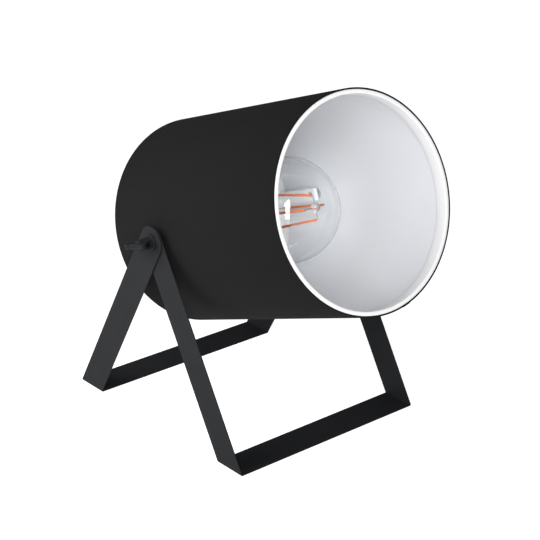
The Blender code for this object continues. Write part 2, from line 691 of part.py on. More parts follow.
def bulb(materials, parent):
    """Globe bulb: cap, driver, glass, stem and filaments with their wires."""
    place = along_shade(BULB_TIP)
    dome_share = 0.55
    tip = [(0, TIP_HEIGHT), (TIP_RADIUS, TIP_HEIGHT), (TIP_RADIUS, TIP_HEIGHT * dome_share),
           (TIP_RADIUS * dome_share, 0), (0, 0)]
    turned("bulb_tip_contact", tip, False, BULB_SEGMENTS, materials["zinc"], parent, place)
    insulator_low = TIP_HEIGHT + GAP
    insulator_high = insulator_low + INSULATOR_HEIGHT
    insulator = [(0, insulator_high), (INSULATOR_RADIUS, insulator_high), (TIP_RADIUS, insulator_low),
                 (0, insulator_low)]
    turned("bulb_insulator", insulator, False, BULB_SEGMENTS, materials["black_nylon"], parent, place)
    turned("bulb_screw_cap", screw_cap_profile(), True, BULB_SEGMENTS, materials["nickel"], parent, place)
    board = SHELL_LOW + 2 * SHELL_WALL + GAP
    edge = SHELL_INNER - GAP
    driver = [(0, board + DRIVER_HEIGHT), (DRIVER_RADIUS, board + DRIVER_HEIGHT),
              (DRIVER_RADIUS, board + DRIVER_BOARD), (edge, board + DRIVER_BOARD), (edge, board), (0, board)]
    turned("led_driver", driver, False, BULB_SEGMENTS, materials["circuit_board"], parent, place)
    glass = glass_profile(0) + glass_profile(GLASS_WALL)[::-1]
    turned("bulb_globe", glass, False, BULB_SEGMENTS, materials["clear_glass"], parent, place)
    stem(materials["clear_glass"], parent, place)
    filaments(materials, parent, place)


def screw_cap_profile():
    """Thin shell with a rounded thread: outer side from the front down, then back up inside."""
    profile = [(THREAD_ROOT, SHELL_HIGH)]
    thread_top = SHELL_HIGH - THREAD_PITCH / 2
    for index in range(2 * THREAD_TURNS + 1):
        radius = THREAD_CREST if index % 2 else THREAD_ROOT
        profile.append((radius, thread_top - index * THREAD_PITCH / 2))
    profile += [(INSULATOR_RADIUS, SHELL_LOW), (SHELL_HOLE, SHELL_LOW), (SHELL_HOLE, SHELL_LOW + SHELL_WALL),
                (INSULATOR_RADIUS - SHELL_WALL, SHELL_LOW + SHELL_WALL),
                (SHELL_INNER, SHELL_LOW + 2 * SHELL_WALL), (SHELL_INNER, SHELL_HIGH)]
    return profile


def stem(material, parent, place):
    """Glass stem: a flare that closes the neck, a thin rod and a bead at its tip."""
    flare_radius = SHELL_INNER - GAP - GLASS_WALL - GAP
    waist_share = 1 / 3
    waist = STEM_RADIUS + (flare_radius - STEM_RADIUS) * waist_share
    bead_end = -math.acos(STEM_RADIUS / BEAD_RADIUS)
    profile = arc((0, STEM_TOP - BEAD_RADIUS), BEAD_RADIUS, math.pi / 2, bead_end, BEAD_STEPS)
    profile[0] = (0, STEM_TOP)
    profile += [(STEM_RADIUS, STEM_FLARE_TOP), (waist, (GLASS_LOW + STEM_FLARE_TOP) / 2),
                (flare_radius, GLASS_LOW), (0, GLASS_LOW)]
    return turned("bulb_stem", profile, False, BULB_SEGMENTS // 2, material, parent, place)


def rod(name, points, radius, material, parent, place):
    """A wire or rod along points, with filled caps."""
    curve = bpy.data.curves.new(name, "CURVE")
    curve.dimensions = "3D"
    curve.bevel_depth = radius
    curve.bevel_resolution = 2
    curve.use_fill_caps = True
    spline = curve.splines.new("POLY")
    spline.points.add(len(points) - 1)
    for point, place_on_route in zip(spline.points, points):
        point.co = (*place_on_route, 1)
    return add_object(name, curve, PARTS, material, parent, place)


def filaments(materials, parent, place):
    """Filaments round the stem, wider at the base, with a wire at each end."""
    top = STEM_TOP - FILAMENT_SETBACK
    base = STEM_FLARE_TOP + GLASS_RUN * FILAMENT_RISE_SHARE
    top_wire = top + GAP + WIRE_RADIUS
    base_wire = base - GAP - WIRE_RADIUS
    for index in range(FILAMENT_COUNT):
        angle = 2 * math.pi * index / FILAMENT_COUNT
        across, up = math.cos(angle), math.sin(angle)

        def at(radius, height):
            return (radius * across, radius * up, height)

        number = str(index + 1)
        route = [at(FILAMENT_BASE_PLACE, base), at(FILAMENT_TOP_PLACE, top)]
        rod("filament_" + number, route, FILAMENT_RADIUS, materials["filament"], parent, place)
        route = [at(BEAD_RADIUS + GAP, top_wire), at(FILAMENT_TOP_PLACE, top_wire)]
        rod("top_wire_" + number, route, WIRE_RADIUS, materials["nickel"], parent, place)
        route = [at(STEM_RADIUS + 2 * GAP, STEM_FLARE_TOP), at(FILAMENT_BASE_PLACE, base_wire)]
        rod("base_wire_" + number, route, WIRE_RADIUS, materials["nickel"], parent, place)


def make_materials():
    return {
        "black_fabric": make_material("black_fabric", (0.022, 0.023, 0.022), 0.9),
        "white_lining": make_material("white_lining", (0.78, 0.79, 0.80), 0.6),
        "white_hem": make_material("white_hem", (0.82, 0.82, 0.82), 0.6),
        "white_board": make_material("white_board", (0.78, 0.78, 0.77), 0.5),
        "white_metal": make_material("white_metal", (0.80, 0.80, 0.80), 0.4),
        "black_metal": make_material("black_metal", (0.030, 0.031, 0.034), 0.45),
        "black_nylon": make_material("black_nylon", (0.018, 0.018, 0.018), 0.5),
        "zinc": make_material("zinc", (0.62, 0.63, 0.65), 0.35, metallic=1.0),
        "nickel": make_material("nickel", (0.70, 0.69, 0.66), 0.25, metallic=1.0),
        "brass": make_material("brass", (0.80, 0.60, 0.27), 0.3, metallic=1.0),
        "ceramic": make_material("ceramic", (0.80, 0.79, 0.75), 0.4),
        "white_plastic": make_material("white_plastic", (0.76, 0.76, 0.75), 0.35),
        "circuit_board": make_material("circuit_board", (0.05, 0.20, 0.09), 0.5),
        "clear_glass": make_material("clear_glass", (1.0, 1.0, 1.0), 0.02, transmission=1.0),
        "filament": make_material("filament", (0.80, 0.36, 0.08), 0.5),
    }


def build_shade(materials, shade):
    rear = -SHADE_REAR
    shade_tube("shade_fabric", SHADE_RADIUS, SHADE_RADIUS - FABRIC_THICKNESS, rear, SHADE_FRONT,
               materials["black_fabric"], shade)
    inset = RIM_FLANGE + GAP
    shade_tube("shade_liner", LINER_OUTER, LINER_INNER, rear + inset, SHADE_FRONT - inset,
               materials["white_lining"], shade)
    rim_ring("front_rim_ring", SHADE_FRONT, 1, RIM_DEPTH, materials["white_hem"], shade)
    rim_ring("rear_rim_ring", rear, -1, PANEL_INSET - GAP, materials["white_hem"], shade)
    rear_panel(materials["white_board"], shade)
    carrier_bracket(materials["white_metal"], shade)
    for side, sign in SIDES:
        bracket_rivet("bracket_rivet_" + side, sign, materials["zinc"], shade)


SIDES = (("right", -1), ("left", 1))
SIDE_SIGN = dict(SIDES)

clear_scene()
PARTS = make_collection("table_lamp")
CUTTERS = make_collection("cutters")


def main():
    materials = make_materials()
    pivot = make_empty("pivot", PARTS, matrix=Matrix.Translation(pivot_place()))
    shade = make_empty("shade_tilt", PARTS, pivot, Matrix.Rotation(-SHADE_TILT, 4, "Y"))
    leg_frame("front_leg_frame", FRONT_LEAN, sheet_half_width(0), materials["black_metal"], pivot)
    leg_frame("rear_leg_frame", -REAR_LEAN, sheet_half_width(1), materials["black_metal"], pivot)
    build_shade(materials, shade)
    nipple_group(materials, shade)
    lampholder(materials, shade)
    bulb(materials, shade)
    for side, _ in SIDES:
        pivot_hardware(side, materials, pivot, shade)


main()
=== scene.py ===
"""The looks of a table lamp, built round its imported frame.

Units are metres, +Z is up. Places and outer sizes are measured on the frame's nodes. What the frame doesn't
hold, such as roundings, threads and weaves, is named below. A turned piece has its axis on its local z.
"""
import json
import math

import bmesh
import bpy
from mathutils import Matrix, Vector


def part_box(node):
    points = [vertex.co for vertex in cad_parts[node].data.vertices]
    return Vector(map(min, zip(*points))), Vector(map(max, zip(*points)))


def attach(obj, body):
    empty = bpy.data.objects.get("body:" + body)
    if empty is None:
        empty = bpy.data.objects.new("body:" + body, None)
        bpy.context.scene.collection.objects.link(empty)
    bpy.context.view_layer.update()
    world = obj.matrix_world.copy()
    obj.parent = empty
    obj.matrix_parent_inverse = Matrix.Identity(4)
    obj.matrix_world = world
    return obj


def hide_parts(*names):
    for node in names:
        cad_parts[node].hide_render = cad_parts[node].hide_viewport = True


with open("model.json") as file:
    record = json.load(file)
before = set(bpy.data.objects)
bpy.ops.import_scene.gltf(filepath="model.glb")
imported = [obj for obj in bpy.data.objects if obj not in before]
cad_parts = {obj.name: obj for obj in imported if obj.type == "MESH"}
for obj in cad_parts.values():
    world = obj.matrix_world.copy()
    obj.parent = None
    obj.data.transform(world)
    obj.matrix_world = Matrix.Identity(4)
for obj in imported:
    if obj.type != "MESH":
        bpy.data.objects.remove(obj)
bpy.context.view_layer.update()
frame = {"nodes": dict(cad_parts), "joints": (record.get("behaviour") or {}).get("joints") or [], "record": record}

TINY = 1e-6
SHARP_ANGLE = math.radians(35)
ROUND_STEPS = 3
SIDES = (("right", -1), ("left", 1))

# Shade
SHADE_SEGMENTS = 240
FABRIC_EDGE = 0.00035               # rounding where the textile ends at the rim
FABRIC_THREADS = 1328               # round the shade
FABRIC_PITCH = 0.00045              # of the threads along the shade
SEAM_ANGLE = math.radians(12)       # glued overlap of the textile, near the underside
SEAM_WIDTH = math.radians(5)
SEAM_STEP = math.radians(0.05)
SEAM_HEIGHT = 0.0003
HEM_FLANGE = 0.0020
HEM_SKIRT = 0.0026
HEM_EDGE = 0.0008
PANEL_EDGE = 0.0002

# Sheet pieces
FOLD_STEPS = 6
ROUND_END_STEPS = 40
SHEET_EDGE = 0.00018
FOLD_INSIDE = 0.0003
STRAP_BEND = 0.003
STRAP_EDGE = 0.00025
SADDLE_STEPS = 18
CUT_MARGIN = 0.004                  # how far a cutter passes what it cuts

# Hardware
ROUND_SEGMENTS = 48
STUD_PITCH = 0.0010
NIPPLE_PITCH = 0.0010
THREAD_DEPTH_SHARE = 0.55           # of the pitch
THREAD_STEPS = 8                    # rings for each turn
HARDWARE_EDGE = 0.0002
HUB_BASE = 0.0054
HUB_TOP = 0.0048
HUB_ROOF = 0.0012                   # hub's closed end over the bore
HUB_EDGE = 0.0008
WING_REACH = 0.0112                 # axis to the middle of the wing's round tip
WING_HALF = 0.0023                  # of its thickness
WING_TIP_RADIUS = 0.0034
WING_TIP_START = math.radians(-40)  # ends of the round tip's arc
WING_TIP_END = math.radians(150)
WING_TIP_STEPS = 16
WING_FOOT = 0.0014
WING_BRIDGE = 0.0042                # wings' web over the end of the bore
WING_GROOVE = 0.0016
WING_GROOVE_DEPTH = 0.0008
BORE_ROOM = 0.0003
NUT_VOXEL = 0.0003
RIVET_SHANK = 0.0016
RIVET_HEAD = 0.0011
GLAND_RIBS = 24
GLAND_RIB_DEPTH = 0.00035
GLAND_LIP_SHARE = 0.6               # how steeply its mouth narrows
GLAND_EDGE = HARDWARE_EDGE * 3
GLAND_MOUTH_EDGE = HARDWARE_EDGE * 2
SPACER_EDGE = 0.0004

# Bulb
BULB_SEGMENTS = 96
GLASS_WALL = 0.0009
NECK_RADIUS = 0.0126
NECK_JOIN = 0.024                   # radius at which the neck runs into the globe
NECK_INSERT = 0.0070
GLOBE_STEPS = 40
NECK_STEPS = 14
CAP_PITCH = 0.003629
CAP_WALL = 0.0005
CAP_THREAD_STEPS = 12
STEM_RADIUS = 0.0012
STEM_FLARE_HEIGHT = 0.0240
STEM_FLARE_POWER = 2.4              # how late the flare opens
BEAD_RADIUS = 0.0040
BEAD_REACH = 0.0020                 # bead's front beyond the wires' joint
FILAMENT_TIP = 0.0012               # bare metal at each end of a filament
FILAMENT_TIP_SHARE = 0.55           # of the filament's radius
ROD_EDGE_SHARE = 0.4                # of a rod's radius

# Camera, fitted to the photograph: the aim is seen from the pivot, in the picture's own directions
CAMERA_AZIMUTH = math.radians(50.383)
CAMERA_ELEVATION = math.radians(22.866)
CAMERA_ROLL = math.radians(-0.345)
CAMERA_DISTANCE = 1.471
CAMERA_LENS = 108.09
AIM_RIGHT = 0.02458
AIM_UP = -0.05015

# Light and floor
WORLD_LIGHT = 0.12
KEY_SIDE = (-0.3, -1.0, 0.45)       # from the pivot, on the right-hand side of the lamp
KEY_DISTANCE = 0.5
KEY_SIZE = 0.35
KEY_POWER = 2.8
STRIP_DISTANCE = 1.8
STRIP_WIDTH = 0.38
STRIP_HEIGHT = 1.25
STRIP_POWER = 30
FLOOR_RADIUS = 6.0
FLOOR_GAP = 0.0002
FLOOR_ALBEDO = 0.8
FLOOR_SHADOW_SHARE = 0.5            # how much of the floor's look is lit, and so shows the shadow
FLOOR_LIT = 0.12                    # how bright the lit part is taken to be in the open


RECORD = frame["record"]
JOINTS = {joint["name"]: joint for joint in frame["joints"]}
BODY_OF = {node: body for body, nodes in RECORD["behaviour"]["bodies"].items() for node in nodes}
SLOT_OF = {part["node"]: part["material_slot"] for part in RECORD["subparts"]}
PIVOT = Vector(JOINTS["shade_tilt"]["pos_m"])
MOUTHWARD = Vector(JOINTS["bulb_turn"]["axis"]).normalized()


def place_of(origin, across, along):
    """A matrix with its local x across and its local z along."""
    up = along.cross(across)
    matrix = Matrix((across, up, along)).transposed().to_4x4()
    matrix.translation = origin
    return matrix


SHADE = place_of(PIVOT, MOUTHWARD.cross(Vector((0, 1, 0))) * -1, MOUTHWARD)
SIDE = {name: place_of(PIVOT, Vector((1, 0, 0)), Vector((0, sign, 0))) for name, sign in SIDES}


def local_points(node, place):
    inverse = place.inverted()
    return [inverse @ vertex.co for vertex in frame["nodes"][node].data.vertices]


def ring_of(node, place, end="high"):
    """Outer and inner radius at one end of a turned node, and its low and high end, about the local z."""
    points = local_points(node, place)
    heights = [point.z for point in points]
    low, high = min(heights), max(heights)
    level = high if end == "high" else low
    radii = [point.xy.length for point in points if abs(point.z - level) < 10 * TINY]
    return max(radii), min(radii), low, high


def widest(node, place):
    return max(point.xy.length for point in local_points(node, place))


def span(node, place):
    heights = [point.z for point in local_points(node, place)]
    return min(heights), max(heights)


def rod_of(node):
    """Both end centres of a straight rod along the shade or across it, and its radius."""
    points = [vertex.co.copy() for vertex in frame["nodes"][node].data.vertices]
    middle = sum(points, Vector()) / len(points)
    far = max(points, key=lambda point: (point - middle).length)
    direction = (far - middle).normalized()
    groups = ([], [])
    for point in points:
        groups[(point - middle).dot(direction) > 0].append(point)
    start, end = (sum(group, Vector()) / len(group) for group in groups)
    axis = (end - start).normalized()
    radius = max(((point - start) - axis * (point - start).dot(axis)).length for point in points)
    return start, end, radius


def rounded(corners, steps=ROUND_STEPS):
    """An outline from (across, along, radius) corners, each rounded by its radius."""
    points = []
    for index, (across, along, radius) in enumerate(corners):
        corner = Vector((across, along))
        if radius == 0:
            points.append((across, along))
            continue
        before = Vector(corners[index - 1][:2]) - corner
        after = Vector(corners[(index + 1) % len(corners)][:2]) - corner
        half = before.angle(after) / 2
        setback = min(radius / math.tan(half), before.length / 2, after.length / 2)
        start = before.normalized() * setback
        end = after.normalized() * setback
        centre = (start + end).normalized() * setback / math.cos(half)
        spoke = start - centre
        first = math.atan2(spoke.y, spoke.x)
        last = math.atan2((end - centre).y, (end - centre).x)
        turn = (last - first + math.pi) % (2 * math.pi) - math.pi
        for step in range(steps + 1):
            angle = first + turn * step / steps
            point = corner + centre + Vector((math.cos(angle), math.sin(angle))) * spoke.length
            points.append((point.x, point.y))
    return points


def arc(centre, radius, start, end, steps):
    """Points (across, along) on an arc, both ends included."""
    points = []
    for index in range(steps + 1):
        angle = start + (end - start) * index / steps
        points.append((centre[0] + radius * math.cos(angle), centre[1] + radius * math.sin(angle)))
    return points


def add_object(name, bm, place=None):
    mesh = bpy.data.meshes.new(name)
    bm.to_mesh(mesh)
    bm.free()
    obj = bpy.data.objects.new(name, mesh)
    bpy.context.scene.collection.objects.link(obj)
    obj.matrix_world = place or Matrix()
    return obj


def apply_modifiers(obj):
    depsgraph = bpy.context.evaluated_depsgraph_get()
    mesh = bpy.data.meshes.new_from_object(obj.evaluated_get(depsgraph))
    obj.modifiers.clear()
    obj.data = mesh
    return obj


def smooth(obj):
    obj.data.shade_smooth()
    obj.data.set_sharp_from_angle(angle=SHARP_ANGLE)
    return obj


def dress(obj, *nodes):
    """The piece stands for these nodes: their body, slot and material."""
    slot = SLOT_OF[nodes[0]]
    obj.data.materials.clear()
    obj.data.materials.append(FINISHES[slot])
    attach(obj, BODY_OF[nodes[0]])
    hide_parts(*nodes)
    return obj


def turned(name, profile, place, segments=ROUND_SEGMENTS, closed=True, shape=None, more_angles=()):
    """Turn a profile of (radius, height) about the local z. shape may change a radius by height and angle."""
    angles = sorted([2 * math.pi * index / segments for index in range(segments)] + list(more_angles))
    segments = len(angles)
    bm = bmesh.new()
    rings = []
    for radius, height in profile:
        if radius < TINY:
            rings.append([bm.verts.new((0, 0, height))] * segments)
            continue
        ring = []
        for angle in angles:
            reach = shape(radius, height, angle) if shape else radius
            ring.append(bm.verts.new((reach * math.cos(angle), reach * math.sin(angle), height)))
        rings.append(ring)
    following = rings[1:] + rings[:1] if closed else rings[1:]
    for near, far in zip(rings, following):
        for index in range(segments):
            onward = (index + 1) % segments
            corners = [near[index], near[onward], far[onward], far[index]]
            corners = list(dict.fromkeys(corners))
            if len(corners) > 2:
                bm.faces.new(corners)
    bmesh.ops.recalc_face_normals(bm, faces=bm.faces)
    return smooth(add_object(name, bm, place))


def tube(outer, inner, low, high, edge):
    """The rounded section of a tube or washer."""
    return rounded([(outer, high, edge), (outer, low, edge), (inner, low, edge), (inner, high, edge)])


def cut(obj, radius, low, high, place, segments=ROUND_SEGMENTS):
    """Drill a hole on the local z of place."""
    bm = bmesh.new()
    middle = Matrix.Translation((0, 0, (low + high) / 2))
    bmesh.ops.create_cone(bm, cap_ends=True, segments=segments, radius1=radius, radius2=radius,
                          depth=high - low, matrix=middle)
    drill = add_object(obj.name + "_drill", bm, place)
    modifier = obj.modifiers.new("hole", "BOOLEAN")
    modifier.object = drill
    bpy.context.view_layer.update()
    apply_modifiers(obj)
    bpy.data.objects.remove(drill, do_unlink=True)
    return obj


def intersect(obj, other):
    """Keep what lies in both."""
    modifier = obj.modifiers.new("common", "BOOLEAN")
    modifier.operation = "INTERSECT"
    modifier.object = other
    bpy.context.view_layer.update()
    apply_modifiers(obj)
    bpy.data.objects.remove(other, do_unlink=True)
    return obj


def thread(pitch, root, low, high):
    """A radius function for a one-start triangular thread between low and high that fades at its ends."""
    def shape(radius, height, angle):
        if radius <= root:
            return radius
        wave = abs(2 * ((height / pitch - angle / (2 * math.pi)) % 1) - 1)
        fade = min(1, max(0, (height - low) / pitch), max(0, (high - height) / pitch))
        return radius - (radius - root) * wave * fade
    return shape


def levels(low, high, step):
    """Evenly spaced heights from low to high, both included."""
    count = max(1, round((high - low) / step))
    return [low + (high - low) * index / count for index in range(count + 1)]


class Finish:
    """A material whose Principled shader is driven by helper nodes. Sizes are in metres."""

    def __init__(self, name, color, roughness, metallic=0.0, specular=0.5):
        self.material = bpy.data.materials.new(name)
        self.material.use_nodes = True
        self.tree = self.material.node_tree
        self.shader = self.tree.nodes["Principled BSDF"]
        self.color = color
        self.set("Base Color", (*color, 1))
        self.set("Roughness", roughness)
        self.set("Metallic", metallic)
        self.set("Specular IOR Level", specular)
        self.place = self.node("ShaderNodeTexCoord").outputs["Object"]

    def set(self, socket, value):
        self.shader.inputs[socket].default_value = value

    def node(self, kind, **settings):
        node = self.tree.nodes.new(kind)
        for name, value in settings.items():
            setattr(node, name, value)
        return node

    def feed(self, socket, value):
        if isinstance(value, bpy.types.NodeSocket):
            self.tree.links.new(value, socket)
        else:
            socket.default_value = value

    def math(self, operation, first, second=0.0):
        node = self.node("ShaderNodeMath", operation=operation)
        self.feed(node.inputs[0], first)
        self.feed(node.inputs[1], second)
        return node.outputs[0]

    def stretched(self, scale):
        """The surface's coordinates, scaled by x, y and z."""
        node = self.node("ShaderNodeMapping")
        self.feed(node.inputs["Vector"], self.place)
        node.inputs["Scale"].default_value = scale
        return node.outputs["Vector"]

    def noise(self, size, detail=2.0, vector=None):
        """Noise from 0 to 1 with features of about the given size."""
        node = self.node("ShaderNodeTexNoise")
        self.feed(node.inputs["Vector"], vector or self.place)
        node.inputs["Scale"].default_value = 1 / size
        node.inputs["Detail"].default_value = detail
        return node.outputs["Fac"]

    def remap(self, value, low, high):
        """Stretch 0 to 1 onto low to high."""
        node = self.node("ShaderNodeMapRange")
        self.feed(node.inputs["Value"], value)
        node.inputs["To Min"].default_value = low
        node.inputs["To Max"].default_value = high
        return node.outputs["Result"]

    def shade_between(self, factor, dark, light):
        """The material's own colour from dark times to light times itself."""
        node = self.node("ShaderNodeMix", data_type="RGBA")
        self.feed(node.inputs["Factor"], factor)
        for socket, share in ((node.inputs[6], dark), (node.inputs[7], light)):
            socket.default_value = (*(min(1, value * share) for value in self.color), 1)
        return node.outputs[2]

    def bump(self, height, depth, strength=1.0, under=None):
        node = self.node("ShaderNodeBump")
        node.inputs["Strength"].default_value = strength
        node.inputs["Distance"].default_value = depth
        self.feed(node.inputs["Height"], height)
        if under:
            self.feed(node.inputs["Normal"], under)
        return node.outputs["Normal"]

    def drive(self, socket, value):
        self.feed(self.shader.inputs[socket], value)


def textile(name, color, threads_around, thread_pitch):
    """A 2/2 twill wrapped round the local z: counted round the shade, and by its pitch along it."""
    finish = Finish(name, color, 0.92, specular=0.06)
    parts = finish.node("ShaderNodeSeparateXYZ")
    finish.feed(parts.inputs[0], finish.place)
    angle = finish.math("ARCTAN2", parts.outputs["Y"], parts.outputs["X"])
    around = finish.math("MULTIPLY", finish.math("ADD", angle, math.pi), threads_around / (2 * math.pi))
    along = finish.math("MULTIPLY", finish.math("ADD", parts.outputs["Z"], 1.0), 1 / thread_pitch)
    diagonal = finish.math("ADD", finish.math("FLOOR", around), finish.math("FLOOR", along))
    warp_on_top = finish.math("LESS_THAN", finish.math("FLOORED_MODULO", diagonal, 4.0), 2.0)
    crowns = []
    for count in (along, around):
        crowns.append(finish.math("SINE", finish.math("MULTIPLY", finish.math("FRACT", count), math.pi)))
    weave = finish.node("ShaderNodeMix")
    finish.feed(weave.inputs["Factor"], warp_on_top)
    finish.feed(weave.inputs[2], crowns[0])
    finish.feed(weave.inputs[3], crowns[1])
    height = weave.outputs[0]
    slub = finish.noise(0.0012, 3.0, finish.stretched((1, 1, 0.15)))
    cloud = finish.noise(0.03, 3.0)
    # The colour follows the weave's height: painted shade between the threads and a painted highlight on their
    # crowns, with random tone from slubs and clouds on top.
    crown_shade_and_tone = finish.math("MULTIPLY", height, finish.remap(slub, 0.55, 1.25))
    crown_shade_and_tone = finish.math("MULTIPLY", crown_shade_and_tone, finish.remap(cloud, 0.85, 1.15))
    finish.drive("Base Color", finish.shade_between(crown_shade_and_tone, 0.55, 1.6))
    finish.drive("Roughness", finish.remap(slub, 0.84, 0.98))
    finish.drive("Normal", finish.bump(height, 0.00012, 0.7))
    finish.set("Sheen Weight", 0.012)
    finish.set("Sheen Roughness", 0.5)
    return finish.material


def coated_metal(name, color, roughness, grain, depth, specular):
    """Powder coat or paint: a fine orange peel and slightly uneven gloss."""
    finish = Finish(name, color, roughness, specular=specular)
    peel = finish.noise(grain, 3.0)
    cloud = finish.noise(0.018, 3.0)
    finish.drive("Base Color", finish.shade_between(cloud, 0.88, 1.14))
    finish.drive("Roughness", finish.remap(peel, roughness - 0.08, roughness + 0.08))
    finish.drive("Normal", finish.bump(peel, depth, 0.5))
    return finish.material


def film(name, color, roughness, grain, depth, wave=0.0):
    """Plastic film, board or moulded plastic: fine tooth, faint cloudiness and long waves."""
    finish = Finish(name, color, roughness, specular=0.4)
    tooth = finish.noise(grain, 4.0)
    cloud = finish.noise(0.025, 2.0)
    finish.drive("Base Color", finish.shade_between(cloud, 0.985, 1.01))
    finish.drive("Roughness", finish.remap(tooth, roughness - 0.06, roughness + 0.06))
    normal = finish.bump(tooth, depth, 0.4)
    if wave:
        normal = finish.bump(finish.noise(0.05, 1.0), wave, 0.3, normal)
    finish.drive("Normal", normal)
    return finish.material


def bare_metal(name, color, roughness, grain=0.0006):
    """Plated or bare metal with fine turning marks round the local z."""
    finish = Finish(name, color, roughness, metallic=1.0)
    marks = finish.noise(grain, 3.0, finish.stretched((0.2, 0.2, 1.6)))
    stain = finish.noise(0.004, 3.0)
    finish.drive("Base Color", finish.shade_between(stain, 0.86, 1.06))
    finish.drive("Roughness", finish.remap(marks, roughness - 0.08, roughness + 0.12))
    finish.drive("Normal", finish.bump(marks, 0.00002, 0.5))
    return finish.material


def phosphor(name, color):
    """The grainy amber coating of a filament."""
    finish = Finish(name, color, 0.5)
    grain = finish.noise(0.0003, 2.0)
    bands = finish.noise(0.003, 1.0)
    finish.drive("Base Color", finish.shade_between(bands, 0.8, 1.2))
    finish.drive("Roughness", finish.remap(grain, 0.4, 0.65))
    finish.drive("Normal", finish.bump(grain, 0.00005, 0.6))
    return finish.material


def glass(name):
    """Clear blown glass. Lamps reach what is behind it."""
    finish = Finish(name, (1, 1, 1), 0.0)
    finish.set("Transmission Weight", 1.0)
    finish.set("IOR", 1.45)
    ripple = finish.noise(0.02, 1.0)
    finish.drive("Normal", finish.bump(ripple, 0.00004, 0.3))
    path = finish.node("ShaderNodeLightPath")
    clear = finish.node("ShaderNodeBsdfTransparent")
    clear.inputs["Color"].default_value = (0.96, 0.97, 0.97, 1)
    mix = finish.node("ShaderNodeMixShader")
    finish.feed(mix.inputs[0], path.outputs["Is Shadow Ray"])
    finish.feed(mix.inputs[1], finish.shader.outputs[0])
    finish.feed(mix.inputs[2], clear.outputs[0])
    output = finish.tree.nodes["Material Output"]
    finish.feed(output.inputs["Surface"], mix.outputs[0])
    return finish.material


def board(name, color):
    """Circuit board: solder mask with faint tracks."""
    finish = Finish(name, color, 0.4)
    tracks = finish.noise(0.0015, 0.0)
    finish.drive("Base Color", finish.shade_between(tracks, 0.7, 1.3))
    finish.drive("Roughness", finish.remap(tracks, 0.3, 0.5))
    finish.drive("Normal", finish.bump(tracks, 0.00004, 0.5))
    return finish.material


FINISHES = {
    "black_fabric": textile("black_fabric", (0.0060, 0.0062, 0.0061), FABRIC_THREADS, FABRIC_PITCH),
    "white_lining": film("white_lining", (0.78, 0.79, 0.82), 0.55, 0.0006, 0.00002, 0.0004),
    "white_hem": film("white_hem", (0.95, 0.95, 0.96), 0.55, 0.0005, 0.00003),
    "white_board": film("white_board", (0.78, 0.78, 0.78), 0.5, 0.0008, 0.00003, 0.0003),
    "white_metal": coated_metal("white_metal", (0.80, 0.80, 0.81), 0.4, 0.0007, 0.00003, 0.4),
    "black_metal": coated_metal("black_metal", (0.0160, 0.0165, 0.0182), 0.50, 0.0005, 0.00004, 0.03),
    "black_nylon": film("black_nylon", (0.016, 0.016, 0.016), 0.45, 0.0006, 0.00003),
    "zinc": bare_metal("zinc", (0.62, 0.63, 0.65), 0.34),
    "nickel": bare_metal("nickel", (0.70, 0.69, 0.66), 0.24),
    "dull_wire": bare_metal("dull_wire", (0.22, 0.22, 0.22), 0.4),
    "brass": bare_metal("brass", (0.80, 0.60, 0.27), 0.3),
    "ceramic": film("ceramic", (0.80, 0.79, 0.75), 0.3, 0.0010, 0.00003),
    "white_plastic": film("white_plastic", (0.76, 0.76, 0.75), 0.32, 0.0009, 0.00002),
    "circuit_board": board("circuit_board", (0.05, 0.20, 0.09)),
    "clear_glass": glass("clear_glass"),
    "filament": phosphor("filament", (0.66, 0.13, 0.010)),
}


def stud_holes(obj, radius, reach):
    place = SIDE["left"]
    return cut(obj, radius, -reach - CUT_MARGIN, reach + CUT_MARGIN, place)


def hole_radius():
    """The clearance hole for a stud, from the bore of a spacer."""
    return ring_of("spacer_bush_left", SIDE["left"])[1]


def shade_tube(node, edge, shape=None, more_angles=()):
    outer, inner, low, high = ring_of(node, SHADE)
    profile = tube(outer, inner, low, high, edge)
    obj = turned(node + "_detailed", profile, SHADE, SHADE_SEGMENTS, shape=shape, more_angles=more_angles)
    stud_holes(obj, hole_radius(), outer)
    return dress(smooth(obj), node)


FABRIC_MIDDLE = sum(ring_of("shade_fabric", SHADE)[:2]) / 2


def seam(radius, height, angle):
    """The textile's glued overlap: a low step along the shade, near its underside."""
    on_outside = radius > FABRIC_MIDDLE
    on_overlap = abs(angle - SEAM_ANGLE) < SEAM_WIDTH / 2
    return radius + SEAM_HEIGHT if on_outside and on_overlap else radius


def seam_edges():
    """Places round the shade close to both edges of the overlap, so that they come out crisp."""
    places = []
    for side in (-1, 1):
        edge = SEAM_ANGLE + side * SEAM_WIDTH / 2
        places += [edge - SEAM_STEP, edge + SEAM_STEP]
    return places


def rim_hem(node, end, direction):
    outer, inner, low, high = ring_of(node, SHADE, end)
    depth = high - low
    level = high if end == "high" else low
    skirt = inner + HEM_SKIRT
    corners = [(outer, 0, HEM_EDGE), (outer, -HEM_FLANGE, 0), (skirt, -HEM_FLANGE, 0),
               (skirt, -depth, HEM_EDGE), (inner, -depth, HEM_EDGE), (inner, 0, HEM_EDGE)]
    profile = [(radius, level + direction * height) for radius, height in rounded(corners)]
    return dress(turned(node + "_detailed", profile, SHADE, SHADE_SEGMENTS), node)


def rear_panel():
    outer, inner, low, high = ring_of("rear_panel", SHADE)
    obj = turned("rear_panel_detailed", tube(outer, inner, low, high, PANEL_EDGE), SHADE, SHADE_SEGMENTS)
    for side, _ in SIDES:
        rivet_hole(obj, side, low, high)
    return dress(smooth(obj), "rear_panel")


def rivet_place(side):
    low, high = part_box("bracket_rivet_" + side)
    middle = (low + high) / 2
    place = SHADE.copy()
    place.translation = PIVOT + Vector((0, middle.y, 0))
    return place


def rivet_hole(obj, side, low, high):
    cut(obj, RIVET_SHANK, low - CUT_MARGIN, high + CUT_MARGIN, rivet_place(side))


